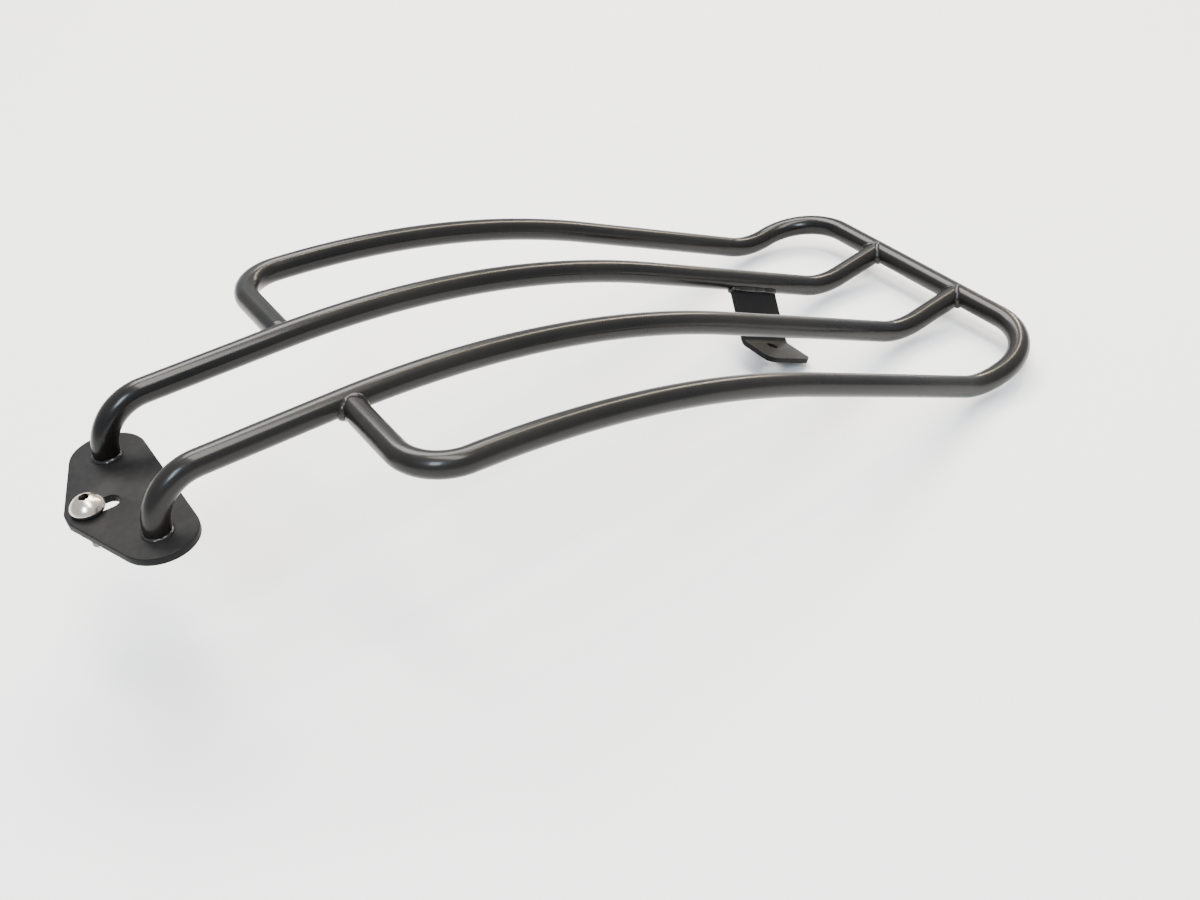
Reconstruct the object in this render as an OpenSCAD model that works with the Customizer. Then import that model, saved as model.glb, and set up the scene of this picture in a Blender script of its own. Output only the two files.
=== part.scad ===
// Rear fender luggage rack: bent steel tubes over a slotted front plate and a rear support strap.
// The origin is on the axis of the front mounting screw, at the underside of the plate.
// +X points to the rear of the vehicle, +Y to its right and +Z up, with the plate lying level.

/* [Tube] */
// Outside diameter of every tube
tube_d = 12.7; // [12:0.1:14]
// Wall thickness of every tube
tube_wall = 1.6; // [1.2:0.1:2.4]

/* [Rails] */
// Distance between the axes of the two inner rails
rail_spacing = 70; // [66:1:76]
// Height of the straight foot of a rail above the plate, before its bend
foot_straight = 1; // [0.5:0.5:4]
// Bend radius at the foot of a rail
foot_bend_r = 25; // [22:1:30]
// Straight run from the foot bend to the long arc
front_run = 67; // [60:1:70]
// Radius of the long arc that follows the fender
arc_r = 520; // [450:10:600]
// Angle through which the long arc turns down
arc_angle = 25; // [22:1:28]
// Straight run behind the long arc
rear_run = 130; // [125:1:150]
// Radius of the kick-up bend at the rear
kick_r = 50; // [40:1:55]
// Angle of the kick-up bend
kick_angle = 34; // [30:1:38]
// Straight run from the kick-up bend to the axis of the rear crossbar
kick_run = 34; // [34:1:50]

/* [Hoop] */
// Distance between the axes of the two outer side rails
hoop_width = 210; // [190:1:240]
// Distance along a rail from its foot bend to the end of the hoop's front corners
hoop_front = 96; // [94:1:120]
// Height by which the hoop's side rails run below the inner rails
hoop_drop = 2.5; // [2:0.5:4]
// Bend radius of the two front corners
front_corner_r = 24; // [20:1:26]
// Bend radius of the two rear corners
rear_corner_r = 36; // [30:1:36]

/* [Front plate] */
// Thickness of the mounting plate
plate_t = 4; // [3:0.5:6]
// Distance from the screw axis back to the feet of the rails
foot_x = 20; // [19:0.5:22]
// Radius of the plate's ears round the feet
ear_r = 18; // [15:0.5:20]
// Width of the narrow front edge of the plate
nose_w = 14; // [10:1:20]
// Distance from the screw axis forward to the front edge
nose_x = 10.5; // [10:0.5:14]
// Width of the adjustment slot
slot_w = 9; // [8.8:0.1:10]
// Distance that the screw can move along the slot
slot_travel = 9.5; // [6:0.5:10]

/* [Rear support] */
// Thickness of the support strap
strap_t = 3; // [2.5:0.5:4]
// Width of the support strap along the rail
strap_w = 36; // [28:1:40]
// Distance along the rear run from the end of the long arc to the middle of the strap
strap_at = 82; // [70:1:95]
// Lean of the strap's leg towards the middle of the rack
leg_lean = 45; // [38:1:48]
// Distance from the rail's axis down to the top of the strap's foot
foot_drop = 27; // [25:0.5:30]
// Inside radius of the strap's bend
strap_bend_r = 4; // [3:0.5:6]
// Distance from the middle of the rack to the free end of the strap's foot
foot_reach = 18; // [16:0.5:22]
// Radius of the two free corners of the strap's foot
foot_corner_r = 6; // [3:0.5:8]
// Diameter of the bolt hole in the strap's foot
foot_hole_d = 6.6; // [5.5:0.1:7]

/* [Hardware] */
// Shank diameter of the mounting screw
screw_d = 8; // [6:0.5:8]
// Diameter of the screw's domed head
head_d = 16; // [15:0.5:17]
// Height of the screw's domed head
head_h = 6.4; // [4:0.1:7]
// Width across the flats of the screw's hex socket
socket_af = 5; // [4:0.5:5]
// Depth of the screw's hex socket
socket_depth = 2.6; // [2:0.1:3]
// Length of the shank below the plate
shank_out = 16; // [12:1:25]
// Outside diameter of the washer under the head
washer_d = 15; // [14:0.5:18]
// Thickness of the washer
washer_t = 1.2; // [1:0.1:2]

/* [Welds] */
// Leg length of the weld round each rail's foot and along the strap
weld_leg = 2.6; // [1.5:0.1:3]
// Thickness of the weld bead round each joint between two tubes
bead_t = 1.4; // [1:0.1:2]

/* [Hidden] */

$fn = 96;
left = -1;
right = 1;
weld_top = 0.4;    // width of the flat upper edge of the weld round a rail's foot
cope_gap = 0.08;   // room between a straight cope and the long arc it fits round
running_gap = 0.3; // clearance between the screw's stack and the plate it slides on
overrun = 1;       // how far a cutting shape runs past what it cuts
nose_r = 4;        // radius of the two corners of the plate's nose
flat = 0.02;       // how far a flat edge of the plate lies inside the circles it joins
neck_relief = 0.8; // how much slimmer the screw's neck is than its shank
proud = 0.05;      // a bend stands this much proud of the flat or straight bar that joins it
embed = 0.2;       // how far that bar runs on inside the bend
corner_run = 1;    // straight tube between a front corner of the hoop and its long arc
tube_r = tube_d / 2;
rail_y = rail_spacing / 2;
side_y = hoop_width / 2;

black = [0.06, 0.06, 0.07];
dull_black = [0.11, 0.11, 0.12];
steel = [0.75, 0.75, 0.77];

// Side profile of a rail: the corners between its straight runs and its bends
rear_slope = kick_angle - arc_angle;
arc_start = [foot_x + foot_bend_r + front_run, plate_t + foot_straight + foot_bend_r];
arc_end = arc_start + arc_r * [sin(arc_angle), cos(arc_angle) - 1];
kick_start = arc_end + rear_run * [cos(arc_angle), -sin(arc_angle)];
kick_end = kick_start + kick_r * [sin(arc_angle) + sin(rear_slope), cos(arc_angle) - cos(rear_slope)];
crossbar = kick_end + kick_run * [cos(rear_slope), sin(rear_slope)];

// Bend tables: each row is [straight run, roll, bend radius, bend angle], and a positive bend turns up
rail_steps = [
    [foot_straight, 0, foot_bend_r, -90],
    [front_run, 0, arc_r, -arc_angle],
    [rear_run, 0, kick_r, kick_angle],
    [kick_run, 0, 0, 0]
];

// The hoop follows the same arcs moved down by hoop_drop. A shorter rear run and a longer kick run
// bring its side rails back to the crossbar of the inner rails.
front_slope = (hoop_front + corner_run - front_run) / arc_r * 180 / PI;
hoop_rear_run = rear_run - hoop_drop * cos(rear_slope) / sin(kick_angle);
hoop_kick_run = kick_run + hoop_drop * cos(arc_angle) / sin(kick_angle);
hoop_steps = [
    [side_y - front_corner_r, 90, front_corner_r, 90],
    [corner_run, -90, arc_r, front_slope - arc_angle],
    [hoop_rear_run, 0, kick_r, kick_angle],
    [hoop_kick_run - rear_corner_r, 90, rear_corner_r, 90]
];
crosspiece = arc_start + arc_r * [sin(front_slope), cos(front_slope) - 1]
    + (front_corner_r + corner_run) * [-cos(front_slope), sin(front_slope)] - [0, hoop_drop];

// A bent rod or tube that starts at the origin along +X and follows the rows of a bend table
module bent_bar(steps, wall, i = 0) {
    if (i < len(steps)) {
        run = steps[i][0];
        bend_r = steps[i][2];
        angle = steps[i][3];
        side = sign(angle);
        before = i > 0 ? embed : 0;
        after = angle != 0 ? embed : 0;
        translate([-before, 0, 0]) rotate([0, 90, 0]) linear_extrude(before + run + after)
            section(tube_r - proud, wall - 2 * proud);
        translate([run, 0, 0]) rotate([steps[i][1], 0, 0]) {
            if (angle != 0) translate([0, 0, side * bend_r]) rotate([90, 0, 0])
                rotate_extrude(angle = abs(angle), start = angle > 0 ? -90 : 90 + angle)
                    translate([bend_r, 0]) section(tube_r, wall);
            translate([bend_r * sin(abs(angle)), 0, side * bend_r * (1 - cos(angle))])
                rotate([0, -angle, 0]) bent_bar(steps, wall, i + 1);
        }
    }
}

// Cross-section of a tube, or of a solid rod where the wall fills the bore
module section(r, wall) {
    difference() {
        circle(r);
        if (wall < r - 2 * proud) circle(r - wall);
    }
}

// One inner rail before its tail is coped
module rail_bar(side, wall) {
    translate([foot_x, side * rail_y, plate_t]) rotate([0, -90, 0]) bent_bar(rail_steps, wall);
}

// A straight rod across the rack through a point of the side profile
module cross_rod(at, r, from, to) {
    translate([at[0], from, at[1]]) rotate([-90, 0, 0]) cylinder(r = r, h = to - from);
}

// The part of an inner rail that the hoop's front end meets, as a solid rod
module joint_rod(side, r) {
    slope = (hoop_front - front_corner_r - front_run) / arc_r * 180 / PI;
    translate([arc_start[0] + arc_r * sin(slope), side * rail_y, arc_start[1] + arc_r * (cos(slope) - 1)])
        rotate([0, 90 + slope, 0]) cylinder(r = r, h = 4 * tube_d, center = true);
}

// The last straight run of an inner rail as a solid rod that stops at the crossbar's axis
module tail_rod(side, r) {
    translate([crossbar[0], side * rail_y, crossbar[1]]) rotate([0, -90 - rear_slope, 0])
        cylinder(r = r, h = kick_run);
}

module rail(side) {
    color(black) difference() {
        rail_bar(side, tube_wall);
        cross_rod(crossbar, tube_r, side * rail_y - 2 * tube_d, side * rail_y + 2 * tube_d);
    }
}

module left_rail() {
    rail(left);
}

module right_rail() {
    rail(right);
}

// The hoop's tube on the side of +Y, from the middle of the front to the end of the rear corner
module hoop_half() {
    translate([crosspiece[0], 0, crosspiece[1]]) rotate([0, front_slope, 0]) rotate([0, 0, 90])
        bent_bar(hoop_steps, tube_wall);
}

module outer_hoop() {
    crossbar_end = side_y - rear_corner_r + embed;
    color(black) difference() {
        union() {
            hoop_half();
            mirror([0, 1, 0]) hoop_half();
            translate([crossbar[0], -crossbar_end, crossbar[1]]) rotate([-90, 0, 0])
                linear_extrude(2 * crossbar_end) section(tube_r - proud, tube_wall - 2 * proud);
        }
        translate([crosspiece[0] - tube_d, -rail_y, crosspiece[1] - tube_d])
            cube([2 * tube_d, 2 * rail_y, 2 * tube_d]);
        for (side = [left, right]) joint_rod(side, tube_r + cope_gap);
    }
}

// Where the line that touches two circles on their outer left side meets the first and the second of them
function touch(a, a_r, b, b_r) =
    let (d = b - a, turn = atan2(d[1], d[0]) + acos((a_r - b_r) / norm(d)), out = [cos(turn), sin(turn)])
    [a + a_r * out, b + b_r * out];

function mirrored(points) = [for (i = [len(points) - 1:-1:0]) [points[i][0], -points[i][1]]];

// The plate's round ears and narrow nose, whose flat edges lie just inside the circles they join
module plate_blank() {
    nose = [nose_r - nose_x, nose_w / 2 - nose_r];
    ear = [foot_x, rail_y];
    bevel = touch(nose, nose_r - flat, ear, ear_r - flat);
    edge = [[nose[0] - nose_r + flat, nose[1]], bevel[0], bevel[1], ear, [foot_x + ear_r - flat, rail_y]];
    linear_extrude(plate_t) polygon(concat(edge, mirrored(edge)));
    for (side = [left, right]) {
        translate([nose[0], side * nose[1], 0]) cylinder(r = nose_r, h = plate_t);
        translate([foot_x, side * rail_y, 0]) cylinder(r = ear_r, h = plate_t);
    }
}

// The slot's round ends and the straight cut between them, which is a hair narrower
module slot() {
    depth = plate_t + 2 * overrun;
    for (x = [0, slot_travel]) translate([x, 0, -overrun]) cylinder(d = slot_w, h = depth);
    translate([0, proud - slot_w / 2, -overrun]) cube([slot_travel, slot_w - 2 * proud, depth]);
}

module front_plate() {
    color(dull_black) difference() {
        plate_blank();
        slot();
    }
}

// Places its children at the middle of the strap on the right rail, with X along the rail and Z square to it
module at_strap() {
    translate([arc_end[0] + strap_at * cos(arc_angle), rail_y, arc_end[1] - strap_at * sin(arc_angle)])
        rotate([0, arc_angle, 0]) children();
}

// Half the strap's bend lies each side of its middle surface
strap_mid_r = strap_bend_r + strap_t / 2;
leg_length = (foot_drop + strap_t / 2 - strap_mid_r * (1 - sin(leg_lean))) / cos(leg_lean);
bend_end_y = -leg_length * sin(leg_lean) - strap_mid_r * cos(leg_lean);

// The leg's flat bar, from the rail's axis down into the bend
module strap_leg() {
    rotate([90 - leg_lean, 0, 0]) translate([-strap_w / 2 + proud, -leg_length - embed, -strap_t / 2 + proud])
        cube([strap_w - 2 * proud, leg_length + embed, strap_t - 2 * proud]);
}

module strap_bend() {
    translate([0, bend_end_y, -foot_drop + strap_bend_r]) rotate([90, 0, 90])
        rotate_extrude(angle = 90 - leg_lean, start = -90) translate([strap_bend_r, -strap_w / 2])
            square([strap_t, strap_w]);
}

module strap_foot() {
    end_y = -rail_y - foot_reach;
    flat_w = strap_w - 2 * proud;
    corner = [flat_w / 2 - foot_corner_r, end_y + foot_corner_r];
    translate([0, 0, -foot_drop - strap_t + proud]) linear_extrude(strap_t - 2 * proud) difference() {
        union() {
            translate([-flat_w / 2, corner[1]]) square([flat_w, bend_end_y + embed - corner[1]]);
            translate([-corner[0], end_y + proud]) square([2 * corner[0], foot_corner_r]);
            for (x = [-1, 1] * corner[0]) translate([x, corner[1]]) circle(foot_corner_r);
        }
        translate([0, -rail_y]) circle(d = foot_hole_d);
    }
}

module rear_support_strap() {
    color(dull_black) at_strap() difference() {
        union() {
            strap_leg();
            strap_bend();
            strap_foot();
        }
        rotate([0, 90, 0]) cylinder(r = tube_r, h = strap_w + 2 * overrun, center = true);
    }
}

// Fillet round the foot of a rail, cut to the rail's bent surface
module foot_weld(side) {
    color(black) difference() {
        translate([foot_x, side * rail_y, plate_t])
            cylinder(r1 = tube_r + weld_leg, r2 = tube_r + weld_top, h = weld_leg);
        rail_bar(side, tube_r);
    }
}

module left_foot_weld() {
    foot_weld(left);
}

module right_foot_weld() {
    foot_weld(right);
}

// Bead in the corner between an inner rail and the end of the hoop
module hoop_weld(side) {
    reach = 2 * tube_d;
    from = side == right ? rail_y : -rail_y - reach;
    color(black) difference() {
        intersection() {
            joint_rod(side, tube_r + bead_t);
            cross_rod(crosspiece, tube_r + bead_t, from, from + reach);
        }
        joint_rod(side, tube_r + cope_gap);
        cross_rod(crosspiece, tube_r, from - overrun, from + reach + overrun);
    }
}

module left_hoop_weld() {
    hoop_weld(left);
}

module right_hoop_weld() {
    hoop_weld(right);
}

// Bead in the corner between the tail of an inner rail and the rear crossbar
module crossbar_weld(side) {
    from = side * rail_y - tube_d;
    to = side * rail_y + tube_d;
    color(black) difference() {
        intersection() {
            tail_rod(side, tube_r + bead_t);
            cross_rod(crossbar, tube_r + bead_t, from, to);
        }
        tail_rod(side, tube_r);
        cross_rod(crossbar, tube_r, from - overrun, to + overrun);
    }
}

module left_crossbar_weld() {
    crossbar_weld(left);
}

module right_crossbar_weld() {
    crossbar_weld(right);
}

// Fillets along both faces of the strap's leg, where it meets the tube
module strap_weld() {
    color(black) at_strap() difference() {
        rotate([90 - leg_lean, 0, 0]) translate([-strap_w / 2, -tube_r - weld_leg, -strap_t / 2 - weld_leg])
            cube([strap_w, weld_leg + overrun, strap_t + 2 * weld_leg]);
        rotate([0, 90, 0]) cylinder(r = tube_r, h = strap_w + 2 * overrun, center = true);
        rotate([90 - leg_lean, 0, 0]) translate([-strap_w / 2 - overrun, -leg_length, -strap_t / 2])
            cube([strap_w + 2 * overrun, leg_length, strap_t]);
        for (face = [-1, 1]) rotate([90 - leg_lean, 0, 0])
            translate([0, -tube_r - weld_leg, face * (strap_t / 2 + weld_leg)])
                rotate([0, 90, 0]) cylinder(r = weld_leg, h = strap_w + 2 * overrun, center = true);
    }
}

washer_z = plate_t + running_gap;
head_z = washer_z + washer_t;

// A domed head over a straight rim, with a hex socket, a slimmer neck through the slot and a shank with
// a chamfered tip
module mounting_screw() {
    rim_h = 1;
    dome_h = head_h - rim_h;
    dome_r = (pow(head_d / 2, 2) + pow(dome_h, 2)) / (2 * dome_h);
    tip = 0.8;
    neck_drop = 0.5;
    color(steel) difference() {
        union() {
            translate([0, 0, head_z]) intersection() {
                cylinder(d = head_d, h = head_h);
                translate([0, 0, head_h - dome_r]) sphere(dome_r);
            }
            translate([0, 0, -neck_drop]) cylinder(d = screw_d - neck_relief, h = neck_drop + head_z);
            translate([0, 0, tip - shank_out]) cylinder(d = screw_d, h = shank_out - tip - neck_drop);
            translate([0, 0, -shank_out]) cylinder(d1 = screw_d - 2 * tip, d2 = screw_d, h = tip);
        }
        translate([0, 0, head_z + head_h - socket_depth]) linear_extrude(socket_depth + overrun)
            polygon([for (i = [0:5]) socket_af / sqrt(3) * [cos(60 * i), sin(60 * i)]]);
    }
}

module screw_washer() {
    color(dull_black) translate([0, 0, washer_z]) linear_extrude(washer_t) difference() {
        circle(d = washer_d);
        circle(d = screw_d);
    }
}

left_rail();
right_rail();
outer_hoop();
front_plate();
rear_support_strap();
left_foot_weld();
right_foot_weld();
left_hoop_weld();
right_hoop_weld();
left_crossbar_weld();
right_crossbar_weld();
strap_weld();
mounting_screw();
screw_washer();
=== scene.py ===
import math
import random
import bmesh
import bpy
from mathutils import Matrix, Vector


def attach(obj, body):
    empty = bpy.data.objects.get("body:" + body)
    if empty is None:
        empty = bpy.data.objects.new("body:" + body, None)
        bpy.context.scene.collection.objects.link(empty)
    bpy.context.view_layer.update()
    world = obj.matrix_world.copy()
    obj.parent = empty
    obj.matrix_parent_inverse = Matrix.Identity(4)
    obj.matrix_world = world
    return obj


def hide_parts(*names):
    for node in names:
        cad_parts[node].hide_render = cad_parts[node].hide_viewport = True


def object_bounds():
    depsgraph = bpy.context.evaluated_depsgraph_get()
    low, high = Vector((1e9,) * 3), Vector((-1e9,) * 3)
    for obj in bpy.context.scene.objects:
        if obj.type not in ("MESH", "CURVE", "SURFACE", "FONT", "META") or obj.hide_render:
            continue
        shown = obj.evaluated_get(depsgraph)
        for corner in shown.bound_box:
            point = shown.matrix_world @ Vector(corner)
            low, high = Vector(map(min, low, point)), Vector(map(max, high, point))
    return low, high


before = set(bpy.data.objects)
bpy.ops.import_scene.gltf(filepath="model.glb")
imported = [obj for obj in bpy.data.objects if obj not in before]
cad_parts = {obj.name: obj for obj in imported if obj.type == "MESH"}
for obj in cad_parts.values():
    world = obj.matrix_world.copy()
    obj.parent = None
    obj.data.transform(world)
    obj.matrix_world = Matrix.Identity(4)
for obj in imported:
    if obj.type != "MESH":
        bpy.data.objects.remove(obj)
cad_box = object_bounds()
MM = 0.001
random.seed(7)

# Driving sizes in millimetres. They are the CAD part's, but the tube and the nose are a hair smaller and the
# hex socket is 0.4 narrower.
TUBE_R = 6.348
WALL = 1.6
RAIL_Y = 35.0
FOOT_STRAIGHT = 1.0
FOOT_BEND_R = 25.0
FRONT_RUN = 67.0
ARC_R = 520.0
ARC_ANGLE = 25.0
REAR_RUN = 130.0
KICK_R = 50.0
KICK_ANGLE = 34.0
KICK_RUN = 34.0

SIDE_Y = 105.0
HOOP_FRONT = 96.0
DROP = 2.5
FRONT_CORNER_R = 24.0
REAR_CORNER_R = 36.0
CORNER_RUN = 1.0

PLATE_T = 4.0
FOOT_X = 20.0
EAR_R = 18.0
NOSE_R = 4.0
NOSE = (-6.49, 3.0)
SLOT_R = 4.5
SLOT_TRAVEL = 9.5

STRAP_T = 3.0
STRAP_W = 36.0
STRAP_AT = 82.0
STRAP_LEAN = 45.0
STRAP_BEND_R = 4.0
FOOT_DROP = 27.0
FOOT_END_Y = -53.0
FOOT_CORNER_R = 6.0
FOOT_HOLE_R = 3.3

WASHER_GAP = 0.3
WASHER_Z = PLATE_T + WASHER_GAP
WASHER_T = 1.2
WASHER_R = 7.5
HEAD_Z = WASHER_Z + WASHER_T
HEAD_R = 8.0
HEAD_H = 6.4
HEAD_RIM = 1.0
SOCKET_R = 4.6 / math.sqrt(3)
SOCKET_DEPTH = 2.6
SHANK_R = 4.0
SHANK_END = -16.0
THREAD_PITCH = 1.25
THREAD_DEPTH = 0.68
THREAD_TOP = -2.0

# Sizes that only the looks need
END_CHAMFER = 0.3     # chamfer at the first end of a tube
TAIL_SHORT = 1.5      # how far a rail's tail stops short of the crossbar's axis, inside the crossbar
HOOP_IN = 3.4         # where the hoop's front ends start, out from a rail's axis and inside that rail
BEAD_SINK = 0.8       # how far under the tubes' surfaces the middle of a bead lies
BORE_GAP = 0.02       # how far the washer's bore and the shank stand back from the shank's size
PLATE_BEVEL = 0.5
STRAP_BEVEL = 0.4
WASHER_BEVEL = 0.3
HEAD_BEVEL = 0.4


def sind(a):
    return math.sin(math.radians(a))


def cosd(a):
    return math.cos(math.radians(a))


# The side profile of the rack, as (x, z) points, and the slopes at its joints
rear_slope = KICK_ANGLE - ARC_ANGLE
front_slope = math.degrees((HOOP_FRONT + CORNER_RUN - FRONT_RUN) / ARC_R)
joint_slope = math.degrees((HOOP_FRONT - FRONT_CORNER_R - FRONT_RUN) / ARC_R)
arc_start = (FOOT_X + FOOT_BEND_R + FRONT_RUN, PLATE_T + FOOT_STRAIGHT + FOOT_BEND_R)


def on_arc(slope):
    """The point of the rails' long arc where it has turned down by the given angle."""
    return arc_start[0] + ARC_R * sind(slope), arc_start[1] + ARC_R * (cosd(slope) - 1)


arc_end = on_arc(ARC_ANGLE)
kick_start = (arc_end[0] + REAR_RUN * cosd(ARC_ANGLE), arc_end[1] - REAR_RUN * sind(ARC_ANGLE))
kick_end = (kick_start[0] + KICK_R * (sind(ARC_ANGLE) + sind(rear_slope)),
            kick_start[1] + KICK_R * (cosd(ARC_ANGLE) - cosd(rear_slope)))
crossbar = Vector((kick_end[0] + KICK_RUN * cosd(rear_slope), 0, kick_end[1] + KICK_RUN * sind(rear_slope)))
hoop_start = on_arc(front_slope)
corner = FRONT_CORNER_R + CORNER_RUN
crosspiece = Vector((hoop_start[0] - corner * cosd(front_slope), 0,
                     hoop_start[1] + corner * sind(front_slope) - DROP))

# ---------------------------------------------------------------- paths


def walk(start, heading, up, steps):
    """Points, in mm, along a bent tube. Each step is (straight run, roll, bend radius, bend angle)."""
    straight_spacing, bend_spacing, bend_turn = 5.0, 2.0, 2.5
    p, h, u = Vector(start), Vector(heading).normalized(), Vector(up).normalized()
    points = [p.copy()]
    for run, roll, radius, angle in steps:
        pieces = max(1, int(run / straight_spacing))
        for _ in range(pieces):
            p = p + h * (run / pieces)
            points.append(p.copy())
        u = Matrix.Rotation(math.radians(roll), 3, h) @ u
        if angle:
            side = math.copysign(1.0, angle)
            axis = h.cross(u) * side
            centre = p + u * (side * radius)
            whole_turn = math.radians(abs(angle))
            pieces = max(8, int(radius * whole_turn / bend_spacing), int(abs(angle) / bend_turn))
            turn = Matrix.Rotation(whole_turn / pieces, 3, axis)
            for _ in range(pieces):
                p = centre + turn @ (p - centre)
                points.append(p.copy())
            whole = Matrix.Rotation(whole_turn, 3, axis)
            h, u = whole @ h, whole @ u
    return points


def rail_path(side):
    steps = [(FOOT_STRAIGHT, 0, FOOT_BEND_R, -90),
             (FRONT_RUN, 0, ARC_R, -ARC_ANGLE),
             (REAR_RUN, 0, KICK_R, KICK_ANGLE),
             (KICK_RUN - TAIL_SHORT, 0, 0, 0)]
    return walk((FOOT_X, side * RAIL_Y, PLATE_T), (0, 0, 1), (-1, 0, 0), steps)


def hoop_path():
    """The whole hoop, from its front end on the side of +Y round the back to the other front end."""
    rear = REAR_RUN - DROP * cosd(rear_slope) / sind(KICK_ANGLE)
    kick = KICK_RUN + DROP * cosd(ARC_ANGLE) / sind(KICK_ANGLE)
    steps = [(SIDE_Y - FRONT_CORNER_R - RAIL_Y - HOOP_IN, 90, FRONT_CORNER_R, 90),
             (CORNER_RUN, -90, ARC_R, front_slope - ARC_ANGLE),
             (rear, 0, KICK_R, KICK_ANGLE),
             (kick - REAR_CORNER_R, 90, REAR_CORNER_R, 90),
             (SIDE_Y - REAR_CORNER_R, 0, 0, 0)]
    up = (sind(front_slope), 0, cosd(front_slope))
    half = walk((crosspiece.x, RAIL_Y + HOOP_IN, crosspiece.z), (0, 1, 0), up, steps)
    return half + [Vector((p.x, -p.y, p.z)) for p in reversed(half[:-1])]


def arc_points(centre, radius, start, end, step=3.0):
    count = max(2, int(abs(end - start) / step))
    turns = [start + (end - start) * i / count for i in range(count + 1)]
    return [(centre[0] + radius * cosd(a), centre[1] + radius * sind(a)) for a in turns]


def saddle(end_point, end_axis, run_point, run_axis, least=0.0):
    """The closed curve where the end of one tube meets the side of another, BEAD_SINK under their surfaces.
    Each of its points is at least the given distance along the first tube."""
    count = 240
    r = TUBE_R - BEAD_SINK
    d, w = Vector(end_axis).normalized(), Vector(run_axis).normalized()
    a = w - d * w.dot(d)
    a.normalize()
    b = d.cross(a)
    across = d - w * d.dot(w)
    out = []
    for i in range(count):
        t = 2 * math.pi * i / count
        p = Vector(end_point) + (a * math.cos(t) + b * math.sin(t)) * r
        q = p - Vector(run_point)
        q = q - w * q.dot(w)
        # distance along d at which the line through p leaves the run tube, from a quadratic equation
        qa, qb, qc = across.dot(across), 2 * q.dot(across), q.dot(q) - r ** 2
        root = math.sqrt(max(qb * qb - 4 * qa * qc, 0.0))
        out.append(p + d * max((-qb + root) / (2 * qa), least))
    return out


# ---------------------------------------------------------------- meshes

def weld(mesh):
    bm = bmesh.new()
    bm.from_mesh(mesh)
    bmesh.ops.remove_doubles(bm, verts=bm.verts, dist=0.00001)
    bmesh.ops.recalc_face_normals(bm, faces=bm.faces)
    bm.to_mesh(mesh)
    bm.free()


def link(name, data):
    obj = bpy.data.objects.new(name, data)
    bpy.context.scene.collection.objects.link(obj)
    return obj


def evaluated_mesh(obj):
    bpy.context.view_layer.update()
    return bpy.data.meshes.new_from_object(obj.evaluated_get(bpy.context.evaluated_depsgraph_get()))


def solid(name, verts, faces):
    """A new object from points in mm."""
    mesh = bpy.data.meshes.new(name)
    mesh.from_pydata([tuple(v * MM for v in p) for p in verts], [], faces)
    weld(mesh)
    return link(name, mesh)


def finish_piece(obj, material, node, body="rack", sharp=None):
    """Gives a piece its material and shading, puts it on its body and hides the CAD node it replaces."""
    mesh = obj.data
    mesh.materials.clear()
    mesh.materials.append(material)
    for poly in mesh.polygons:
        poly.use_smooth = True
    if sharp:
        mesh.set_sharp_from_angle(angle=math.radians(sharp))
    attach(obj, body)
    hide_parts(node)


def frames(points, closed=False):
    """Tangent and two normals at each point, carried along without twist."""
    n = len(points)
    tangents = []
    for i in range(n):
        if closed:
            a, b = points[i - 1], points[(i + 1) % n]
        else:
            a, b = points[max(i - 1, 0)], points[min(i + 1, n - 1)]
        tangents.append((b - a).normalized())
    ref = Vector((0, 1, 0)) if abs(tangents[0].y) < 0.9 else Vector((1, 0, 0))
    normal = (ref - tangents[0] * ref.dot(tangents[0])).normalized()
    middle = sum(points, Vector()) / n
    out = []
    for p, t in zip(points, tangents):
        if closed:
            normal = p - middle
        normal = (normal - t * normal.dot(t)).normalized()
        out.append((t, normal, t.cross(normal)))
    return out


def ring_around(centre, a, b, radius, sides):
    turns = [2 * math.pi * k / sides for k in range(sides)]
    return [centre + a * (radius * math.cos(w)) + b * (radius * math.sin(w)) for w in turns]


def skin(rows, closed=True):
    """Points and quads over rings of equally many points. A closed skin joins the last ring to the first."""
    sides = len(rows[0])
    n = len(rows)
    verts = [v for row in rows for v in row]
    faces = [(j * sides + k, j * sides + (k + 1) % sides,
              ((j + 1) % n) * sides + (k + 1) % sides, ((j + 1) % n) * sides + k)
             for j in range(n if closed else n - 1) for k in range(sides)]
    return verts, faces


def tube(points):
    """A hollow tube along a path, with its inner wall and a chamfered first end."""
    sides = 48
    fr = frames(points)
    _, a, b = fr[0]
    rows = [ring_around(points[0], a, b, TUBE_R - END_CHAMFER, sides)]
    for i, (t, a, b) in enumerate(fr):
        along = t * (END_CHAMFER if i == 0 else 0.0)
        rows.append(ring_around(points[i] + along, a, b, TUBE_R, sides))
    for i in reversed(range(len(points))):
        t, a, b = fr[i]
        rows.append(ring_around(points[i], a, b, TUBE_R - WALL, sides))
    return skin(rows)


def bead(points, size, pitch, thin=0.0):
    """A weld bead along a closed path: overlapping ripples of uneven size. It is thinner, by the share
    given, a quarter and three quarters of the way round, where two tubes meet with no corner to fill."""
    sides, ripple, unevenness = 14, 0.05, 0.24
    n = len(points)
    length = sum((points[i] - points[i - 1]).length for i in range(n))
    ripples = max(4, round(length / pitch))
    uneven = [random.uniform(-1, 1) for _ in range(ripples)]
    rows = []
    for i, (t, a, b) in enumerate(frames(points, closed=True)):
        u = i / n * ripples
        k = int(u) % ripples
        blend = u - int(u)
        swell = uneven[k] * (1 - blend) + uneven[(k + 1) % ripples] * blend
        fill = 1 - thin * math.sin(2 * math.pi * i / n) ** 2
        r = size * fill * (1 + ripple * abs(math.sin(math.pi * u)) + unevenness * swell)
        rows.append(ring_around(points[i], a, b, r, sides))
    return skin(rows)


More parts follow.
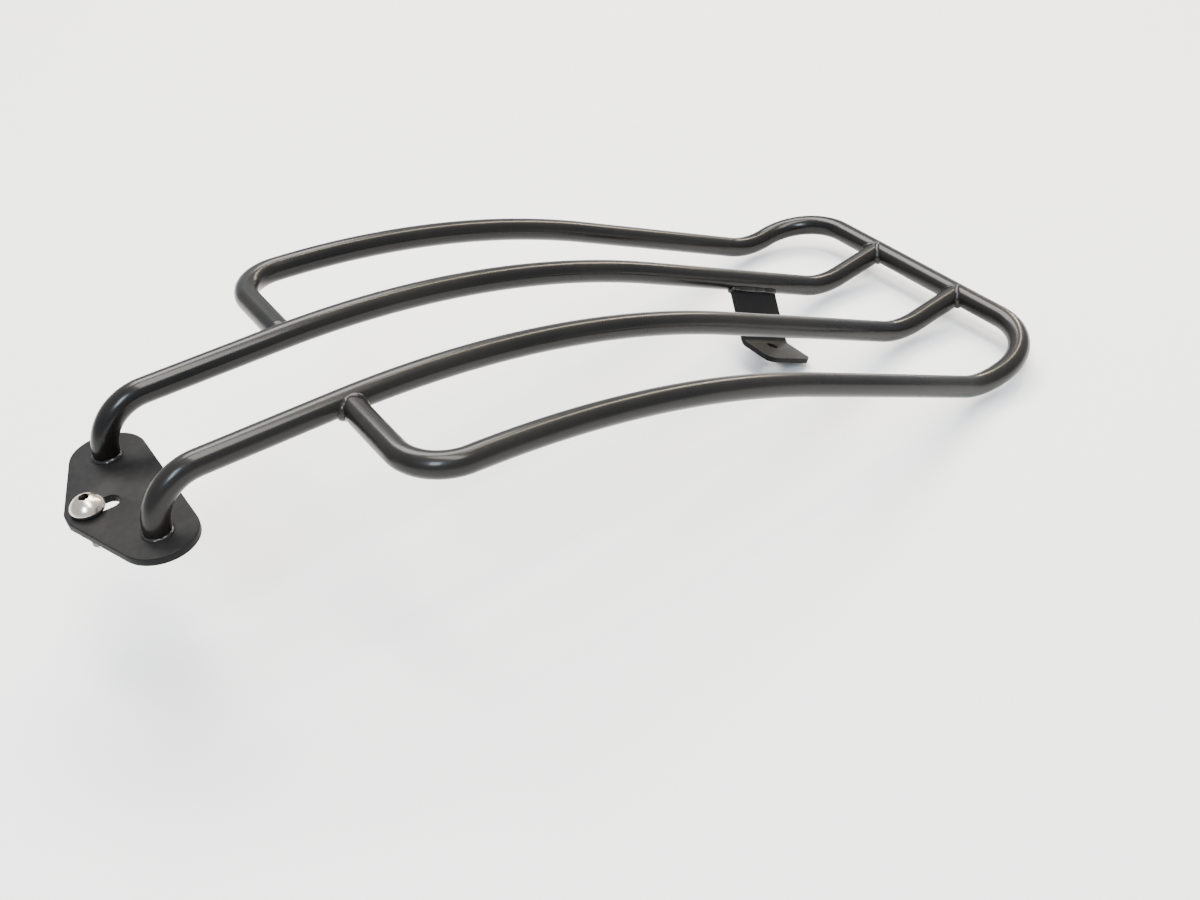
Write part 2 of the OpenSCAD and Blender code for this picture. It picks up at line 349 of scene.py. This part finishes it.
def lathe(profile, sides):
    """A closed solid of revolution about Z from (radius, z) points, first and last on the axis or joined."""
    verts, faces, index = [], [], []
    for r, z in profile:
        if r < 1e-6:
            index.append([len(verts)])
            verts.append(Vector((0, 0, z)))
        else:
            index.append(list(range(len(verts), len(verts) + sides)))
            turns = [2 * math.pi * k / sides for k in range(sides)]
            verts += [Vector((r * math.cos(a), r * math.sin(a), z)) for a in turns]
    closed = profile[0][0] > 1e-6 and profile[-1][0] > 1e-6
    pairs = list(zip(index, index[1:])) + ([(index[-1], index[0])] if closed else [])
    for a, b in pairs:
        for k in range(sides):
            m = (k + 1) % sides
            if len(a) == 1:
                faces.append((a[0], b[k], b[m]))
            elif len(b) == 1:
                faces.append((a[k], a[m], b[0]))
            else:
                faces.append((a[k], a[m], b[m], b[k]))
    return verts, faces


def flat_solid(name, outlines, low, high, bevel):
    """A flat plate with rounded edges from closed outlines in XY, in mm. The first is the outside."""
    curve = bpy.data.curves.new(name + "_outline", "CURVE")
    curve.dimensions = "2D"
    curve.fill_mode = "BOTH"
    for outline in outlines:
        spline = curve.splines.new("POLY")
        spline.points.add(len(outline) - 1)
        for point, (x, y) in zip(spline.points, outline):
            point.co = (x * MM, y * MM, 0, 1)
        spline.use_cyclic_u = True
    curve.extrude = ((high - low) / 2 - bevel) * MM
    curve.bevel_depth = bevel * MM
    curve.bevel_resolution = 3
    curve.offset = -bevel * MM
    holder = link(name + "_curve", curve)
    mesh = evaluated_mesh(holder)
    bpy.data.objects.remove(holder)
    mesh.transform(Matrix.Translation((0, 0, (low + high) / 2 * MM)))
    weld(mesh)
    return link(name, mesh)


def prism(points, z0, z1):
    n = len(points)
    verts = [(x, y, z) for z in (z0, z1) for x, y in points]
    faces = [tuple(reversed(range(n))), tuple(range(n, 2 * n))]
    faces += [(i, (i + 1) % n, n + (i + 1) % n, n + i) for i in range(n)]
    return solid("cutter", verts, faces)


def cut(obj, cutter):
    """Takes the cutter's shape out of the object, and the cutter out of the scene."""
    mod = obj.modifiers.new("cut", "BOOLEAN")
    mod.operation = "DIFFERENCE"
    mod.solver = "EXACT"
    mod.object = cutter
    mesh = evaluated_mesh(obj)
    obj.modifiers.clear()
    obj.data = mesh
    bpy.data.objects.remove(cutter)


# ---------------------------------------------------------------- materials

def new_material(name):
    mat = bpy.data.materials.new(name)
    mat.use_nodes = True
    tree = mat.node_tree
    tree.nodes.clear()
    out = tree.nodes.new("ShaderNodeOutputMaterial")
    shader = tree.nodes.new("ShaderNodeBsdfPrincipled")
    tree.links.new(shader.outputs[0], out.inputs[0])
    coords = tree.nodes.new("ShaderNodeTexCoord")
    return mat, tree, shader, coords


def noise(tree, coords, scale, detail=4.0):
    n = tree.nodes.new("ShaderNodeTexNoise")
    n.inputs["Scale"].default_value = scale
    n.inputs["Detail"].default_value = detail
    n.inputs["Roughness"].default_value = 0.55
    tree.links.new(coords.outputs["Object"], n.inputs["Vector"])
    return n.outputs["Fac"]


def ramp(tree, source, low, high, a, b):
    """Maps low to a and high to b, and stays between a and b outside them."""
    r = tree.nodes.new("ShaderNodeMapRange")
    r.inputs["From Min"].default_value = low
    r.inputs["From Max"].default_value = high
    r.inputs["To Min"].default_value = a
    r.inputs["To Max"].default_value = b
    tree.links.new(source, r.inputs["Value"])
    return r.outputs[0]


def mix_colour(tree, factor, a, b):
    """A mix of two colours, either of which is three numbers or another node's output."""
    m = tree.nodes.new("ShaderNodeMix")
    m.data_type = "RGBA"
    for name, colour in (("A", a), ("B", b)):
        if isinstance(colour, tuple):
            m.inputs[name].default_value = (*colour, 1)
        else:
            tree.links.new(colour, m.inputs[name])
    tree.links.new(factor, m.inputs["Factor"])
    return m.outputs["Result"]


def bump(tree, shader, heights, distance):
    """Bump nodes in a row, one for each (height, strength)."""
    last = None
    for source, strength in heights:
        b = tree.nodes.new("ShaderNodeBump")
        b.inputs["Strength"].default_value = strength
        b.inputs["Distance"].default_value = distance
        tree.links.new(source, b.inputs["Height"])
        if last:
            tree.links.new(last.outputs[0], b.inputs["Normal"])
        last = b
    tree.links.new(last.outputs[0], shader.inputs["Normal"])


def powder_coat(name, dark, light, rough, peel, coat, gloss):
    """Black powder coat: faint orange peel, patchy sheen, and a thin veil of dust with a painted sheen on
    what faces up.
    """
    mat, tree, shader, coords = new_material(name)
    patch = noise(tree, coords, 9.0)
    fine = noise(tree, coords, 260.0, 2.0)
    peel_noise = noise(tree, coords, 420.0, 0.0)
    base = mix_colour(tree, ramp(tree, patch, 0.35, 0.7, 0, 1), dark, light)
    geometry = tree.nodes.new("ShaderNodeNewGeometry")
    split = tree.nodes.new("ShaderNodeSeparateXYZ")
    tree.links.new(geometry.outputs["Normal"], split.inputs[0])
    # What faces up is lightened toward a warm grey, partly as dust and partly as a painted sheen.
    dust_and_sheen_amount = tree.nodes.new("ShaderNodeMath")
    dust_and_sheen_amount.operation = "MULTIPLY"
    tree.links.new(ramp(tree, split.outputs["Z"], 0.55, 1.0, 0.0, 0.03), dust_and_sheen_amount.inputs[0])
    tree.links.new(fine, dust_and_sheen_amount.inputs[1])
    dust_and_sheen = mix_colour(tree, dust_and_sheen_amount.outputs[0], base, (0.32, 0.30, 0.27))
    tree.links.new(dust_and_sheen, shader.inputs["Base Color"])
    tree.links.new(ramp(tree, patch, 0.3, 0.75, *rough), shader.inputs["Roughness"])
    shader.inputs["Specular IOR Level"].default_value = gloss
    shader.inputs["Coat Weight"].default_value = coat
    shader.inputs["Coat Roughness"].default_value = 0.12
    bump(tree, shader, [(peel_noise, peel), (fine, peel * 0.6)], 0.0002)
    return mat


def stainless(name):
    """Turned stainless steel: warm, a little uneven, and darkened by painted shade where it is sheltered."""
    mat, tree, shader, coords = new_material(name)
    shader.inputs["Metallic"].default_value = 1.0
    grain = noise(tree, coords, 700.0, 3.0)
    patch = noise(tree, coords, 60.0)
    base = mix_colour(tree, patch, (0.48, 0.42, 0.34), (0.70, 0.63, 0.53))
    # Painted shade: the colour goes nearly black in the hex socket and other recesses that the AO node finds
    # sheltered.
    recess_shade = tree.nodes.new("ShaderNodeAmbientOcclusion")
    recess_shade.inputs["Distance"].default_value = 0.004
    unshaded = ramp(tree, recess_shade.outputs["AO"], 0.35, 0.85, 0, 1)
    tree.links.new(mix_colour(tree, unshaded, (0.05, 0.045, 0.04), base), shader.inputs["Base Color"])
    tree.links.new(ramp(tree, patch, 0.3, 0.7, 0.20, 0.32), shader.inputs["Roughness"])
    bump(tree, shader, [(grain, 0.04)], 0.0001)
    return mat


TUBE_COAT = powder_coat("tube_coat", (0.003, 0.0027, 0.0023), (0.008, 0.0072, 0.0058),
                        rough=(0.24, 0.33), peel=0.015, coat=0.16, gloss=0.15)
PLATE_COAT = powder_coat("plate_coat", (0.003, 0.003, 0.0034), (0.006, 0.006, 0.0062),
                         rough=(0.42, 0.58), peel=0.08, coat=0.0, gloss=0.09)
WELD_COAT = powder_coat("weld_coat", (0.003, 0.0027, 0.0023), (0.008, 0.0072, 0.0058),
                        rough=(0.24, 0.34), peel=0.03, coat=0.2, gloss=0.2)
WASHER_COAT = powder_coat("washer_coat", (0.008, 0.008, 0.009), (0.02, 0.02, 0.022),
                          rough=(0.34, 0.5), peel=0.10, coat=0.0, gloss=0.4)
STEEL = stainless("stainless")

# ---------------------------------------------------------------- tubes

for side, name in ((-1, "left_rail"), (1, "right_rail")):
    finish_piece(solid("tube_" + name, *tube(rail_path(side))), TUBE_COAT, name, sharp=50)
finish_piece(solid("tube_outer_hoop", *tube(hoop_path())), TUBE_COAT, "outer_hoop", sharp=50)

# ---------------------------------------------------------------- front plate


def plate_outline():
    """Two round ears and a narrow nose with round corners, joined by the lines that touch both."""
    reach = (FOOT_X - NOSE[0], RAIL_Y - NOSE[1])
    turn = math.degrees(math.atan2(reach[1], reach[0]) + math.acos((NOSE_R - EAR_R) / math.hypot(*reach)))
    half = arc_points(NOSE, NOSE_R, 180, turn) + arc_points((FOOT_X, RAIL_Y), EAR_R, turn, 0)
    return half + [(x, -y) for x, y in reversed(half)]


def slot_outline():
    return arc_points((0, 0), SLOT_R, 90, 270) + arc_points((SLOT_TRAVEL, 0), SLOT_R, -90, 90)


plate = flat_solid("plate", [plate_outline(), slot_outline()], 0.0, PLATE_T, PLATE_BEVEL)
finish_piece(plate, PLATE_COAT, "front_plate", sharp=35)

# ---------------------------------------------------------------- rear support strap

# Places what is drawn round the rail's axis at the middle of the strap, with X along the rail
strap_x, strap_z = arc_end[0] + STRAP_AT * cosd(ARC_ANGLE), arc_end[1] - STRAP_AT * sind(ARC_ANGLE)
strap_origin = Vector((strap_x, RAIL_Y, strap_z))
strap_place = Matrix.Translation(strap_origin * MM) @ Matrix.Rotation(math.radians(ARC_ANGLE), 4, "Y")


def strap_side(offset):
    """One face of the strap in side view, from inside the tube to the free end, at an offset from its middle
    surface."""
    inside = 0.6
    start = TUBE_R - inside
    mid_r = STRAP_BEND_R + STRAP_T / 2
    leg = (FOOT_DROP + STRAP_T / 2 - mid_r * (1 - sind(STRAP_LEAN))) / cosd(STRAP_LEAN)
    bend_y = -leg * sind(STRAP_LEAN) - mid_r * cosd(STRAP_LEAN)
    out = (-cosd(STRAP_LEAN), sind(STRAP_LEAN))
    points = [(-start * sind(STRAP_LEAN) + out[0] * offset, -start * cosd(STRAP_LEAN) + out[1] * offset)]
    points += arc_points((bend_y, -FOOT_DROP + STRAP_BEND_R), mid_r - offset, -STRAP_LEAN, -90, 4.0)
    points.append((FOOT_END_Y, -FOOT_DROP - STRAP_T / 2 + offset))
    return points


def make_strap():
    """The bent bar, with the bolt hole and the two round corners cut in its foot. The cutting shapes reach
    below, above and beyond the foot by more than it needs."""
    side_view = strap_side(STRAP_T / 2) + list(reversed(strap_side(-STRAP_T / 2)))
    strap = flat_solid("strap", [side_view], -STRAP_W / 2, STRAP_W / 2, STRAP_BEVEL)
    strap.data.transform(Matrix(((0, 0, 1, 0), (1, 0, 0, 0), (0, 1, 0, 0), (0, 0, 0, 1))))
    below, above, beyond = 8, 4, 5
    low, high = -FOOT_DROP - below, -FOOT_DROP + above
    cut(strap, prism(arc_points((0, -RAIL_Y), FOOT_HOLE_R, 0, 354, 6.0), low, high))
    outer_x, outer_y = 30, FOOT_END_Y - beyond
    for side in (-1, 1):
        c = (side * (STRAP_W / 2 - FOOT_CORNER_R), FOOT_END_Y + FOOT_CORNER_R)
        round_part = arc_points(c, FOOT_CORNER_R, -90, 0 if side > 0 else -180, 6.0)
        outside = [(side * outer_x, c[1]), (side * outer_x, outer_y), (c[0], outer_y)]
        cut(strap, prism((round_part + outside)[::side], low, high))
    strap.data.transform(strap_place)
    finish_piece(strap, PLATE_COAT, "rear_support_strap", sharp=35)


make_strap()

# ---------------------------------------------------------------- weld beads


def foot_line(side):
    """The circle round a rail's foot, just inside the tube and under the plate's face."""
    count, inside, under = 260, 0.3, 0.2
    r = TUBE_R - inside
    turns = [i * 360 / count for i in range(count)]
    return [Vector((FOOT_X + r * cosd(a), side * RAIL_Y + r * sind(a), PLATE_T - under)) for a in turns]


def hoop_line(side):
    x, z = on_arc(joint_slope)
    along = (cosd(joint_slope), 0, -sind(joint_slope))
    return saddle(crosspiece, (0, side, 0), Vector((x, side * RAIL_Y, z)), along, RAIL_Y + HOOP_IN)


def crossbar_line(side):
    tail = Vector((crossbar.x, side * RAIL_Y, crossbar.z))
    return saddle(tail, (-cosd(rear_slope), 0, -sind(rear_slope)), tail, (0, 1, 0))


def strap_line():
    """Along one face of the strap's leg, round its edge and back along the other face, at the tube."""
    straight_count, round_count, end_r = 90, 12, 1.2
    half_w = STRAP_W / 2 - end_r
    half_t = STRAP_T / 2 + 0.3
    out = Vector((0, -cosd(STRAP_LEAN), sind(STRAP_LEAN)))
    root = Vector((0, -sind(STRAP_LEAN), -cosd(STRAP_LEAN))) * (TUBE_R + 0.2)
    line = []
    for face in (1, -1):
        for i in range(straight_count):
            x = half_w * (1 - 2 * i / (straight_count - 1)) * face
            line.append(Vector((x, 0, 0)) + root + out * (face * half_t))
        for i in range(1, round_count):
            a = 180 * i / round_count
            x = -face * (half_w + end_r * sind(a))
            line.append(Vector((x, 0, 0)) + root + out * (face * half_t * cosd(a)))
    return [strap_place @ (p * MM) / MM for p in line]


def add_bead(name, node, line, size, pitch, thin=0.0):
    finish_piece(solid(name, *bead(line, size, pitch, thin)), WELD_COAT, node)


for side, name in ((-1, "left"), (1, "right")):
    add_bead(name + "_foot_bead", name + "_foot_weld", foot_line(side), 1.55, 3.6)
    add_bead(name + "_hoop_bead", name + "_hoop_weld", hoop_line(side), 2.7, 3.4, thin=0.40)
    add_bead(name + "_crossbar_bead", name + "_crossbar_weld", crossbar_line(side), 2.7, 3.4, thin=0.42)
add_bead("strap_bead", "strap_weld", strap_line(), 1.6, 4.5)

# ---------------------------------------------------------------- screw and washer


def washer_profile():
    inner, flat_r = SHANK_R + BORE_GAP, WASHER_R - WASHER_BEVEL
    return [(inner, WASHER_Z), (flat_r, WASHER_Z), (WASHER_R, WASHER_Z + WASHER_BEVEL),
            (WASHER_R, HEAD_Z - WASHER_BEVEL), (flat_r, HEAD_Z), (inner, HEAD_Z)]


def head_profile():
    """A rim with soft edges under a dome that is part of a sphere."""
    dome_h = HEAD_H - HEAD_RIM
    dome_r = (HEAD_R ** 2 + dome_h ** 2) / (2 * dome_h)
    profile = [(0, HEAD_Z), (HEAD_R - HEAD_BEVEL, HEAD_Z), (HEAD_R - 0.1, HEAD_Z + 0.12),
               (HEAD_R, HEAD_Z + HEAD_BEVEL), (HEAD_R, HEAD_Z + 2 * HEAD_BEVEL),
               (HEAD_R - 0.08, HEAD_Z + 1.05)]
    rows = 24
    for i in range(1, rows + 1):
        r = (HEAD_R - 0.2) * (1 - i / rows)
        profile.append((r, HEAD_Z + HEAD_H - dome_r + math.sqrt(dome_r ** 2 - r ** 2)))
    return profile


def make_head():
    top, overrun = HEAD_Z + HEAD_H, 2
    head = solid("screw_head", *lathe(head_profile(), 128))
    turns = [60 * i + 10 for i in range(6)]
    socket = [(SOCKET_R * cosd(a), SOCKET_R * sind(a)) for a in turns]
    cut(head, prism(socket, top - SOCKET_DEPTH, top + overrun))
    finish_piece(head, STEEL, "mounting_screw", "screw", 32)


def shank():
    """Rings up the shank, whose radius follows the thread's helix below THREAD_TOP, and two flat ends."""
    sides, rings_per_turn, tip, tip_slope = 48, 10, 0.8, 0.9
    rows = []
    z = SHANK_END
    while z <= HEAD_Z + 0.01:
        depth = THREAD_DEPTH if z < THREAD_TOP else 0.0
        taper = max(0.0, (SHANK_END + tip - z)) * tip_slope
        row = []
        for k in range(sides):
            phase = ((z / THREAD_PITCH) - k / sides) % 1.0
            r = SHANK_R - BORE_GAP - depth * abs(2 * phase - 1) - taper
            a = 2 * math.pi * k / sides
            row.append(Vector((r * math.cos(a), r * math.sin(a), z)))
        rows.append(row)
        z += THREAD_PITCH / rings_per_turn
    verts, faces = skin(rows, closed=False)
    faces.append(tuple(reversed(range(sides))))
    faces.append(tuple(range(len(verts) - sides, len(verts))))
    return verts, faces


finish_piece(solid("washer", *lathe(washer_profile(), 96)), WASHER_COAT, "screw_washer", "screw", 40)
make_head()
finish_piece(solid("screw_shank", *shank()), STEEL, "mounting_screw", "screw", 60)

# ---------------------------------------------------------------- studio, from here on in metres

bpy.ops.mesh.primitive_plane_add(size=12, location=(0.2, 0, cad_box[0].z - 0.002))
floor = bpy.context.object
floor.name = "floor"
mat, tree, shader, coords = new_material("floor")
tone = mix_colour(tree, noise(tree, coords, 3.0), (0.84, 0.835, 0.82), (0.88, 0.875, 0.86))
tree.links.new(tone, shader.inputs["Base Color"])
shader.inputs["Roughness"].default_value = 0.9
floor.data.materials.append(mat)

world = bpy.data.worlds.new("studio")
bpy.context.scene.world = world
world.use_nodes = True
world.node_tree.nodes["Background"].inputs[0].default_value = (0.86, 0.90, 1.0, 1)
world.node_tree.nodes["Background"].inputs[1].default_value = 1.05


def area(name, location, target, size, power, colour):
    light = bpy.data.lights.new(name, "AREA")
    light.shape = "RECTANGLE"
    light.size, light.size_y = size
    light.energy = power
    light.color = colour
    obj = link(name, light)
    obj.location = location
    obj.rotation_euler = (Vector(target) - Vector(location)).to_track_quat("-Z", "Y").to_euler()


area("key", (0.6, 1.3, 1.9), (0.25, 0, 0), (1.5, 1.0), 100, (1.0, 0.97, 0.92))
area("side", (-0.9, -1.1, 1.6), (0.2, 0, 0), (0.5, 0.8), 50, (0.72, 0.86, 1.0))
area("rear_strip", (1.9, 0.75, 1.7), (0.25, 0, 0), (0.2, 2.6), 70, (1.0, 0.86, 0.66))
area("top", (0.3, -0.3, 2.0), (0.25, 0, 0), (0.5, 1.6), 54, (1.0, 0.96, 0.90))

camera_data = bpy.data.cameras.new("camera")
camera_data.sensor_width = 36.0
camera_data.lens = 41.15
camera_data.clip_start = 0.01
camera = link("camera", camera_data)
camera_right = Vector((0.82603, -0.55892, -0.07271))
camera_up = Vector((0.39035, 0.47424, 0.78913))
camera_back = Vector((-0.40658, -0.68022, 0.60991))
turn = Matrix((camera_right, camera_up, camera_back)).transposed().to_4x4()
camera.matrix_world = Matrix.Translation((-0.05001, -0.53184, 0.38234)) @ turn
bpy.context.scene.camera = camera
